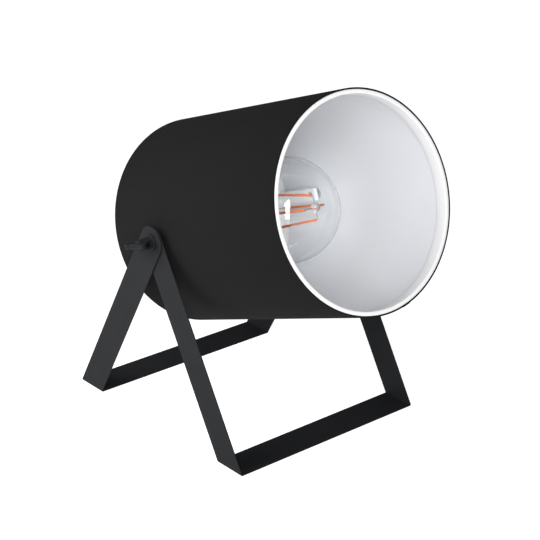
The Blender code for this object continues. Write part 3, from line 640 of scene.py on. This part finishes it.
def rivet(side):
    node = "bracket_rivet_" + side
    place = rivet_place(side)
    head = widest(node, place)
    low, high = span(node, place)
    dome = (head**2 + RIVET_HEAD**2) / (2 * RIVET_HEAD)
    reach = math.asin(head / dome)
    top = arc((0, high - dome), dome, math.pi / 2, math.pi / 2 - reach, NECK_STEPS)
    bottom = arc((0, low + dome), dome, reach - math.pi / 2, -math.pi / 2, NECK_STEPS)
    top[0], bottom[-1] = (0, high), (0, low)
    shank = [(RIVET_SHANK, high - RIVET_HEAD), (RIVET_SHANK, low + RIVET_HEAD)]
    return dress(turned(node + "_detailed", top + shank + bottom, place, closed=False), node)


def fold_on(bm, edges, centre, axis, run):
    """Fold the sheet a quarter turn from its free edges, then carry it straight on by run."""
    folded = bmesh.ops.spin(bm, geom=edges, cent=centre, axis=axis, angle=math.pi / 2, steps=FOLD_STEPS)
    last = [item for item in folded["geom_last"] if isinstance(item, bmesh.types.BMEdge)]
    straight = bmesh.ops.extrude_edge_only(bm, edges=last)
    moved = [item for item in straight["geom"] if isinstance(item, bmesh.types.BMVert)]
    bmesh.ops.translate(bm, verts=moved, vec=run)


def face_out(bm, face, outward):
    bmesh.ops.recalc_face_normals(bm, faces=bm.faces)
    face.normal_update()
    if face.normal.dot(outward) < 0:
        bmesh.ops.reverse_faces(bm, faces=bm.faces)


def thicken(obj, thickness):
    """Mirror the half sheet across the lamp and give it its thickness, inwards."""
    mirror = obj.modifiers.new("left half", "MIRROR")
    mirror.use_axis = (False, True, False)
    mirror.merge_threshold = TINY
    solidify = obj.modifiers.new("sheet", "SOLIDIFY")
    solidify.thickness = thickness
    solidify.offset = -1
    solidify.use_even_offset = True
    return apply_modifiers(obj)


def soften(obj, width):
    """Break the sharp edges and keep flat faces flat in shading."""
    bevel = obj.modifiers.new("broken edges", "BEVEL")
    bevel.width = width
    bevel.segments = 2
    bevel.limit_method = "ANGLE"
    bevel.angle_limit = SHARP_ANGLE
    apply_modifiers(obj)
    obj.data.shade_smooth()
    normals = obj.modifiers.new("flat faces", "WEIGHTED_NORMAL")
    normals.keep_sharp = True
    return obj


def leg_frame(node, side):
    """A U frame: arms with round ends at the pivot and the flat bar between them. side is 1 in front."""
    low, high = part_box(node)
    vertices = [vertex.co for vertex in frame["nodes"][node].data.vertices]
    arm = sorted({round(abs(co.y), 5) for co in vertices if co.z > PIVOT.z})
    half_width, thickness = arm[-1], arm[-1] - arm[0]
    radius = max(math.hypot(co.x - PIVOT.x, co.z - PIVOT.z) for co in vertices if co.z > PIVOT.z)
    foot = [side * (co.x - PIVOT.x) for co in vertices if co.z < thickness / 2]
    foot_low, foot_high = min(foot), max(foot)
    fold = thickness + FOLD_INSIDE
    fold_line = fold - PIVOT.z
    lean = math.atan2((foot_low + foot_high) / 2, -fold_line)
    outline = [(foot_low, fold_line), (foot_high, fold_line)]
    outline += arc((0, 0), radius, lean, lean + math.pi, ROUND_END_STEPS)
    bm = bmesh.new()
    verts = [bm.verts.new((side * x, -half_width, z)) for x, z in outline]
    face = bm.faces.new(verts)
    edge = bm.edges.get((verts[0], verts[1]))
    fold_on(bm, [edge], (0, fold - half_width, fold_line), (1, 0, 0), (0, half_width - fold, 0))
    face_out(bm, face, Vector((0, -1, 0)))
    obj = thicken(add_object(node + "_detailed", bm, Matrix.Translation(PIVOT)), thickness)
    stud_holes(obj, hole_radius(), half_width)
    return dress(soften(obj, SHEET_EDGE), node)


def carrier_bracket():
    """The U strap that carries the lampholder and the studs, with its round saddle at the middle."""
    node = "carrier_bracket"
    upright = place_of(PIVOT, MOUTHWARD, MOUTHWARD.cross(Vector((0, 1, 0))))
    points = local_points(node, upright)
    back = min(point.x for point in points)
    front = max(point.x for point in points)
    outer = max(abs(point.y) for point in points)
    tip = [point for point in points if front - point.x < TINY * 10]
    thickness = outer - min(abs(point.y) for point in tip)
    half = max(abs(point.z) for point in tip)
    saddle = max(abs(point.z) for point in points)
    join = math.asin(half / saddle)
    fold_line = STRAP_BEND - outer
    outline = [(fold_line, half), (fold_line, -half)]
    outline += arc((0, 0), saddle, math.pi + join, 1.5 * math.pi, SADDLE_STEPS)
    outline += arc((0, 0), saddle, 0.5 * math.pi, math.pi - join, SADDLE_STEPS)
    bm = bmesh.new()
    verts = [bm.verts.new((back, y, z)) for y, z in outline]
    face = bm.faces.new(verts)
    edge = bm.edges.get((verts[0], verts[1]))
    run = (front - back - STRAP_BEND, 0, 0)
    fold_on(bm, [edge], (back + STRAP_BEND, fold_line, 0), (0, 0, 1), run)
    face_out(bm, face, Vector((-1, 0, 0)))
    obj = thicken(add_object(node + "_detailed", bm, upright), thickness)
    stud_holes(obj, hole_radius(), outer)
    cut(obj, ring_of("rear_panel", SHADE)[1], back - CUT_MARGIN, back + thickness + CUT_MARGIN, SHADE)
    for side, _ in SIDES:
        rivet_hole(obj, side, back, back + thickness)
    return dress(soften(obj, STRAP_EDGE), node)


def threaded_rod(node, place, pitch):
    """A fully threaded stud with chamfered ends, or a nipple with a bore."""
    outer = widest(node, place)
    _, bore, low, high = ring_of(node, place)
    hollow = bore > outer / 2
    depth = pitch * THREAD_DEPTH_SHARE
    heights = levels(low, high, pitch / THREAD_STEPS)
    profile = [(outer, height) for height in reversed(heights)]
    if hollow:
        profile += [(bore, low), (bore, high)]
    else:
        profile = [(0, high)] + profile + [(0, low)]
    shape = thread(pitch, outer - depth, low - pitch, high + pitch)

    def chamfered(radius, height, angle):
        limit = outer - depth + min(height - low, high - height)
        return min(shape(radius, height, angle), limit) if radius == outer else radius

    obj = turned(node + "_detailed", profile, place, closed=hollow, shape=chamfered)
    return dress(obj, node)


def hexagon_nut(node, place):
    """A hexagon nut whose corners are turned off at both faces."""
    _, bore, low, high = ring_of(node, place)
    corner = widest(node, place)
    flat = corner * math.cos(math.pi / 6)
    far = max(local_points(node, place), key=lambda point: point.xy.length)
    bm = bmesh.new()
    turn = Matrix.Rotation(math.atan2(far.y, far.x), 4, "Z")
    middle = Matrix.Translation((0, 0, (low + high) / 2))
    bmesh.ops.create_cone(bm, cap_ends=True, segments=6, radius1=corner, radius2=corner, depth=high - low,
                          matrix=middle @ turn)
    obj = add_object(node + "_detailed", bm, place)
    fall = (corner - flat) * math.tan(math.radians(30)) + HARDWARE_EDGE
    blank = [(0, high), (flat - HARDWARE_EDGE, high), (corner + HARDWARE_EDGE, high - fall),
             (corner + HARDWARE_EDGE, low + fall), (flat - HARDWARE_EDGE, low), (0, low)]
    intersect(obj, turned("blank", blank, place, 2 * ROUND_SEGMENTS, closed=False))
    cut(obj, bore, low - CUT_MARGIN, high + CUT_MARGIN, place)
    return dress(smooth(obj), node)


def plain_ring(node, place, edge=HARDWARE_EDGE):
    outer, inner, low, high = ring_of(node, place)
    return dress(turned(node + "_detailed", tube(outer, inner, low, high, edge), place), node)


def wing_outline(top, tip, inset):
    """Both wings and the web between them, as (across, along the nut's axis) points, drawn in by inset."""
    right = [(HUB_TOP - inset, WING_FOOT + inset)]
    right += arc(tip, WING_TIP_RADIUS - inset, WING_TIP_START, WING_TIP_END, WING_TIP_STEPS)
    right.append((0, top - inset))
    left = [(-across, along) for across, along in reversed(right[:-1])]
    return right + left


def wing_nut(side):
    """A cast wing nut: a tapered hub, two thick wings with a groove round their edge, and a blind bore."""
    node = "wing_nut_" + side
    place = SIDE[side]
    seat, crown = span(node, place)
    points = local_points(node, place)
    tips = [point for point in points if point.z > crown - WING_TIP_RADIUS and point.xy.length > HUB_BASE]
    one_wing = [point.xy for point in tips if point.xy.dot(tips[0].xy) > 0]
    middle = sum(one_wing, Vector((0, 0)))
    spin = Matrix.Rotation(math.atan2(middle.y, middle.x), 4, "Z")
    bore = span("pivot_stud_" + side, place)[1] + BORE_ROOM - seat
    tip = (WING_REACH, crown - seat - WING_TIP_RADIUS)
    local = place @ Matrix.Translation((0, 0, seat)) @ spin
    top = bore + HUB_ROOF
    hub = rounded([(0, top, 0), (HUB_TOP, top, HUB_EDGE), (HUB_BASE, 0, 0), (0, 0, 0)])
    nut = turned(node + "_detailed", hub, local, closed=False)
    whole = bmesh.new()
    whole.from_mesh(nut.data)
    groove = WING_GROOVE / 2
    layers = ((-WING_HALF, -groove, 0), (-groove, groove, WING_GROOVE_DEPTH), (groove, WING_HALF, 0))
    for low, high, inset in layers:
        outline = wing_outline(bore + WING_BRIDGE, tip, inset)
        face = whole.faces.new([whole.verts.new((across, low, along)) for across, along in outline])
        grown = bmesh.ops.extrude_face_region(whole, geom=[face])
        moved = [item for item in grown["geom"] if isinstance(item, bmesh.types.BMVert)]
        bmesh.ops.translate(whole, verts=moved, vec=(0, high - low, 0))
    bmesh.ops.recalc_face_normals(whole, faces=whole.faces)
    whole.to_mesh(nut.data)
    whole.free()
    remesh = nut.modifiers.new("cast", "REMESH")
    remesh.mode = "VOXEL"
    remesh.voxel_size = NUT_VOXEL
    soft = nut.modifiers.new("cast edges", "SMOOTH")
    soft.factor = 0.5
    soft.iterations = 3
    apply_modifiers(nut)
    cut(nut, hole_radius(), -CUT_MARGIN, bore, local)
    return dress(smooth(nut), node)


def cord_gland():
    """The ribbed grommet nut that would let the cord in."""
    node = "cord_gland"
    outer = widest(node, SHADE)
    mouth, bore, low, high = ring_of(node, SHADE, "low")
    _, seat, _, _ = ring_of(node, SHADE)
    lip = (outer - mouth) * GLAND_LIP_SHARE
    corners = [(outer, high, HARDWARE_EDGE), (outer, low + lip, GLAND_EDGE), (mouth, low, GLAND_EDGE),
               (bore, low, GLAND_MOUTH_EDGE), (bore, low + lip, 0), (seat, low + lip, 0), (seat, high, 0)]

    def ribbed(radius, height, angle):
        if radius < outer - TINY or height < low + lip:
            return radius
        wave = 0.5 + 0.5 * math.cos(GLAND_RIBS * angle)
        return radius - GLAND_RIB_DEPTH * wave
    profile = rounded(corners)
    return dress(turned(node + "_detailed", profile, SHADE, 4 * GLAND_RIBS, shape=ribbed), node)


def glass_profile(radius, middle, neck_base, low, stub, inset):
    """Globe, neck and the stub in the cap, from the front pole down, inset from the outside."""
    globe = radius - inset
    neck = NECK_RADIUS - inset
    join = NECK_JOIN - inset
    join_angle = -math.acos(join / globe)
    points = arc((0, middle), globe, math.pi / 2, join_angle, GLOBE_STEPS)
    points[0] = (0, points[0][1])
    slope = math.tan(join_angle + math.pi / 2)
    neck_height = neck_base + inset
    run = points[-1][1] - neck_height
    for index in range(1, NECK_STEPS + 1):
        share = 1 - index / NECK_STEPS
        rise = 3 * share**2 - 2 * share**3
        bend = share**3 - share**2
        points.append((neck + (join - neck) * rise + bend * run / slope, neck_height + run * share))
    return points + [(stub - inset, neck_height), (stub - inset, low)]


def bulb_globe():
    node = "bulb_globe"
    radius = widest(node, SHADE)
    stub, _, low, high = ring_of(node, SHADE, "low")
    middle = high - radius
    neck_base = low + NECK_INSERT
    outside = glass_profile(radius, middle, neck_base, low, stub, 0)
    inside = glass_profile(radius, middle, neck_base, low, stub, GLASS_WALL)
    profile = outside + inside[::-1]
    obj = turned(node + "_detailed", profile, SHADE, BULB_SEGMENTS, closed=False)
    return dress(obj, node)


def bulb_stem():
    """The glass stem: a smooth flare, a thin rod and the bead that holds the wires."""
    node = "bulb_stem"
    flare, _, low, high = ring_of(node, SHADE, "low")
    high += BEAD_REACH
    bead_end = -math.acos(STEM_RADIUS / BEAD_RADIUS)
    profile = arc((0, high - BEAD_RADIUS), BEAD_RADIUS, math.pi / 2, bead_end, ROUND_END_STEPS // 2)
    profile[0] = (0, high)
    steps = NECK_STEPS
    for index in range(steps + 1):
        share = 1 - index / steps
        radius = STEM_RADIUS + (flare - STEM_RADIUS) * (1 - share)**STEM_FLARE_POWER
        profile.append((radius, low + STEM_FLARE_HEIGHT * share))
    profile.append((0, low))
    return dress(turned(node + "_detailed", profile, SHADE, BULB_SEGMENTS // 2, closed=False), node)


def bulb_screw_cap():
    """The plated cap, one sheet rolled into a helical thread."""
    node = "bulb_screw_cap"
    crest = widest(node, SHADE)
    outer, inner, low, high = ring_of(node, SHADE)
    base, hole, _, _ = ring_of(node, SHADE, "low")
    heights = levels(low + (crest - base), high, CAP_PITCH / CAP_THREAD_STEPS)

    def rolled(radius, height, angle):
        if radius < inner - TINY:
            return radius
        fade = min(1, (height - heights[0]) / CAP_PITCH, (high - height) / CAP_PITCH)
        wave = 0.5 - 0.5 * math.cos(2 * math.pi * (height / CAP_PITCH - angle / (2 * math.pi)))
        return radius + (crest - outer) * wave * max(0, fade)

    outside = [(outer, height) for height in reversed(heights)] + [(base, low), (hole, low)]
    inside = [(hole, low + CAP_WALL), (base - CAP_WALL, low + CAP_WALL)]
    inside += [(outer - CAP_WALL, height) for height in heights]
    return dress(turned(node + "_detailed", outside + inside, SHADE, BULB_SEGMENTS // 2, shape=rolled), node)


def straight_rod(name, start, end, radius, segments=16):
    """A rod with rounded ends."""
    along = (end - start).normalized()
    across = along.orthogonal().normalized()
    length = (end - start).length
    edge = radius * ROD_EDGE_SHARE
    corners = [(0, length, 0), (radius, length, edge), (radius, 0, edge), (0, 0, 0)]
    return turned(name, rounded(corners), place_of(start, across, along), segments, closed=False)


def filament(number):
    """The coated strip of light chips, with a bare metal tip at each end."""
    node = f"filament_{number}"
    start, end, radius = rod_of(node)
    along = (end - start).normalized()
    inset = along * FILAMENT_TIP
    dress(straight_rod(node + "_detailed", start + inset, end - inset, radius), node)
    for name, tip, onward in (("start", start, inset), ("end", end, -inset)):
        piece = straight_rod(f"{node}_tip_{name}", tip, tip + onward, radius * FILAMENT_TIP_SHARE)
        piece.data.materials.append(FINISHES["nickel"])
        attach(piece, BODY_OF[node])


def wires():
    for number in range(1, 5):
        for kind in ("top", "base"):
            node = f"{kind}_wire_{number}"
            start, end, radius = rod_of(node)
            wire = dress(straight_rod(node + "_detailed", start, end, radius, 10), node)
            wire.data.materials[0] = FINISHES["dull_wire"]


def carried_over():
    """Every node that still shows takes its finish from its slot."""
    for name, node in frame["nodes"].items():
        if node.hide_render:
            continue
        node.data.materials.clear()
        node.data.materials.append(FINISHES[SLOT_OF[name]])


def area_light(name, direction, distance, power, target):
    """A soft light that looks at the target from a direction."""
    lamp = bpy.data.lights.new(name, "AREA")
    lamp.energy = power
    obj = bpy.data.objects.new(name, lamp)
    obj.visible_camera = False
    bpy.context.scene.collection.objects.link(obj)
    away = direction.normalized()
    obj.location = target + away * distance
    obj.rotation_euler = away.to_track_quat("Z", "Y").to_euler()
    return obj


def camera_axes():
    """The picture's right, its up and the way back to the camera."""
    azimuth, elevation = CAMERA_AZIMUTH, CAMERA_ELEVATION
    back = Vector((math.sin(azimuth) * math.cos(elevation), -math.cos(azimuth) * math.cos(elevation),
                   math.sin(elevation)))
    level = Vector((math.cos(azimuth), math.sin(azimuth), 0))
    upright = back.cross(level)
    right = level * math.cos(CAMERA_ROLL) + upright * math.sin(CAMERA_ROLL)
    up = upright * math.cos(CAMERA_ROLL) - level * math.sin(CAMERA_ROLL)
    return right, up, back


def make_camera():
    right, up, back = camera_axes()
    data = bpy.data.cameras.new("camera")
    data.lens = CAMERA_LENS
    camera = bpy.data.objects.new("camera", data)
    bpy.context.scene.collection.objects.link(camera)
    aim = PIVOT + right * AIM_RIGHT + up * AIM_UP
    camera.matrix_world = place_of(aim + back * CAMERA_DISTANCE, right, back)
    bpy.context.scene.camera = camera


def seen_directly(tree):
    """1 for rays from the camera, and for those off gloss or through glass."""
    path = tree.nodes.new("ShaderNodeLightPath")
    total = path.outputs["Is Camera Ray"]
    for name in ("Is Glossy Ray", "Is Transmission Ray"):
        add = tree.nodes.new("ShaderNodeMath")
        add.operation = "MAXIMUM"
        tree.links.new(total, add.inputs[0])
        tree.links.new(path.outputs[name], add.inputs[1])
        total = add.outputs[0]
    return total


def make_world():
    """White where the camera looks, and a soft even light for the rest."""
    world = bpy.data.worlds.new("studio")
    bpy.context.scene.world = world
    world.use_nodes = True
    tree = world.node_tree
    background = tree.nodes["Background"]
    background.inputs["Color"].default_value = (1, 1, 1, 1)
    level = tree.nodes.new("ShaderNodeMapRange")
    level.inputs["To Min"].default_value = WORLD_LIGHT
    level.inputs["To Max"].default_value = 1.0
    path = tree.nodes.new("ShaderNodeLightPath")
    add = tree.nodes.new("ShaderNodeMath")
    add.operation = "MAXIMUM"
    tree.links.new(path.outputs["Is Camera Ray"], add.inputs[0])
    tree.links.new(path.outputs["Is Transmission Ray"], add.inputs[1])
    tree.links.new(add.outputs[0], level.inputs["Value"])
    tree.links.new(level.outputs["Result"], background.inputs["Strength"])


def make_floor():
    """A pale floor: white where it is seen, keeping a faint shadow of the lamp."""
    bm = bmesh.new()
    bmesh.ops.create_circle(bm, cap_ends=True, segments=64, radius=FLOOR_RADIUS)
    floor = add_object("floor", bm, Matrix.Translation((0, 0, -FLOOR_GAP)))
    material = bpy.data.materials.new("floor")
    material.use_nodes = True
    tree = material.node_tree
    tree.nodes.remove(tree.nodes["Principled BSDF"])
    plain = tree.nodes.new("ShaderNodeBsdfDiffuse")
    plain.inputs["Color"].default_value = (FLOOR_ALBEDO, FLOOR_ALBEDO, FLOOR_ALBEDO, 1)
    shaded = tree.nodes.new("ShaderNodeBsdfDiffuse")
    share = FLOOR_SHADOW_SHARE
    shaded.inputs["Color"].default_value = (share, share, share, 1)
    white = tree.nodes.new("ShaderNodeEmission")
    white.inputs["Strength"].default_value = 1 - share * FLOOR_LIT
    both = tree.nodes.new("ShaderNodeAddShader")
    tree.links.new(shaded.outputs[0], both.inputs[0])
    tree.links.new(white.outputs[0], both.inputs[1])
    mix = tree.nodes.new("ShaderNodeMixShader")
    tree.links.new(seen_directly(tree), mix.inputs[0])
    tree.links.new(plain.outputs[0], mix.inputs[1])
    tree.links.new(both.outputs[0], mix.inputs[2])
    tree.links.new(mix.outputs[0], tree.nodes["Material Output"].inputs["Surface"])
    floor.data.materials.append(material)


def make_lights():
    """A soft key on the camera's left, and a tall strip behind it."""
    key = area_light("key", Vector(KEY_SIDE), KEY_DISTANCE, KEY_POWER, PIVOT)
    key.data.size = KEY_SIZE
    strip = area_light("strip", camera_axes()[2], STRIP_DISTANCE, STRIP_POWER, PIVOT)
    strip.data.shape = "RECTANGLE"
    strip.data.size = STRIP_WIDTH
    strip.data.size_y = STRIP_HEIGHT


bpy.context.scene.view_settings.view_transform = "Standard"
make_camera()
shade_tube("shade_fabric", FABRIC_EDGE, seam, seam_edges())
shade_tube("shade_liner", PANEL_EDGE)
rim_hem("front_rim_ring", "high", 1)
rim_hem("rear_rim_ring", "low", -1)
rear_panel()
carrier_bracket()
leg_frame("front_leg_frame", 1)
leg_frame("rear_leg_frame", -1)
for side, _ in SIDES:
    rivet(side)
    threaded_rod("pivot_stud_" + side, SIDE[side], STUD_PITCH)
    hexagon_nut("stud_lock_nut_" + side, SIDE[side])
    plain_ring("spacer_bush_" + side, SIDE[side], SPACER_EDGE)
    plain_ring("washer_" + side, SIDE[side])
    wing_nut(side)
threaded_rod("nipple", SHADE, NIPPLE_PITCH)
hexagon_nut("nipple_nut", SHADE)
cord_gland()
bulb_globe()
bulb_stem()
bulb_screw_cap()
for number in range(1, 5):
    filament(number)
wires()
carried_over()
make_world()
make_floor()
make_lights()
